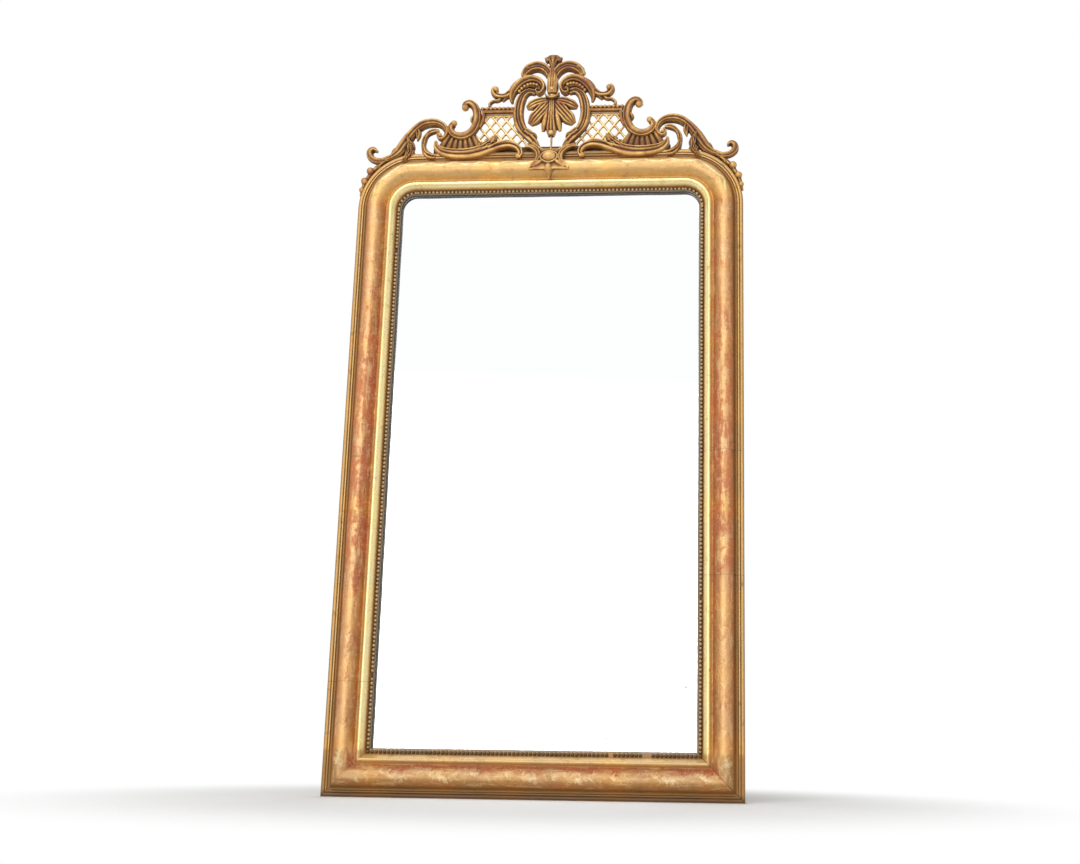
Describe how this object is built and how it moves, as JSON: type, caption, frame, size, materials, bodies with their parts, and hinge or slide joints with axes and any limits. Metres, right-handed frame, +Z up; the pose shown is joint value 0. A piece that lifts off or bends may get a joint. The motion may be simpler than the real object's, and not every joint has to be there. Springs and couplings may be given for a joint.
{
  "type": "pier mirror",
  "caption": "Tall gilt pier mirror with rounded top corners, engraved moulding, pearl courses and a pierced carved crest.",
  "frame": {"origin": "on the underside of the bottom rail, halfway along it and halfway through the depth of the outer edge", "axes": "+Z up the height, +Y towards the wall, the glass faces -Y, +X to the viewer's right"},
  "size_m": [0.992, 0.0909, 1.873],
  "materials": {
    "gilt": "water-gilt gold leaf over red bole and gesso on carved pine, burnished on the beads, rubbed through to red on the stiles",
    "worn_gilt": "dark, worn gilding on small moulded pearls, gold left on the tops",
    "silvered_glass": "clear plate silvered on the back, with a few age spots",
    "pine": "bare aged pine",
    "iron": "dark forged iron with a little rust"
  },
  "bodies": {
    "mirror": {"left_stile": "gilt", "right_stile": "gilt", "bottom_rail": "gilt", "top_rail": "gilt", "top_left_corner": "gilt", "top_right_corner": "gilt", "pearls_left": "worn_gilt", "pearls_right": "worn_gilt", "pearls_bottom": "worn_gilt", "pearls_top": "worn_gilt", "pearls_top_left_corner": "worn_gilt", "pearls_top_right_corner": "worn_gilt", "mirror_glass": "silvered_glass", "glass_fillet_left": "pine", "glass_fillet_right": "pine", "glass_fillet_bottom": "pine", "glass_fillet_top": "pine", "back_board_1": "pine", "back_board_2": "pine", "back_board_3": "pine", "back_board_4": "pine", "back_board_5": "pine", "back_board_6": "pine", "crest_rail": "pine", "star_clasp": "gilt", "cabochon": "gilt", "shell": "gilt", "top_palmette": "gilt", "heart_scroll_left": "gilt", "heart_scroll_right": "gilt", "shoulder_sprig_left": "gilt", "shoulder_sprig_right": "gilt", "lattice_panel_left": "gilt", "lattice_panel_right": "gilt", "lattice_top_bar_left": "gilt", "lattice_top_bar_right": "gilt", "side_scroll_left": "gilt", "side_scroll_right": "gilt", "gadroon_fan_left": "gilt", "gadroon_fan_right": "gilt", "acanthus_scroll_left": "gilt", "acanthus_scroll_right": "gilt", "arch_scroll_left": "gilt", "arch_scroll_right": "gilt", "inner_leaf_left": "gilt", "inner_leaf_right": "gilt", "end_volute_left": "gilt", "end_volute_right": "gilt", "berries_left": "gilt", "berries_right": "gilt", "crest_strap_left": "iron", "crest_strap_right": "iron", "hanger_plate_left": "iron", "hanger_plate_right": "iron"},
    "ring_left": {"hanger_ring_left": "iron"},
    "ring_right": {"hanger_ring_right": "iron"}
  },
  "joints": [
    {"name": "ring_left_swing", "type": "hinge", "parent": "mirror", "child": "ring_left", "pos_m": [-0.438, 0.0298, 1.29], "axis": [1, 0, 0], "range_deg": [0, 180]},
    {"name": "ring_right_swing", "type": "hinge", "parent": "mirror", "child": "ring_right", "pos_m": [0.438, 0.0298, 1.29], "axis": [1, 0, 0], "range_deg": [0, 180]}
  ]
}
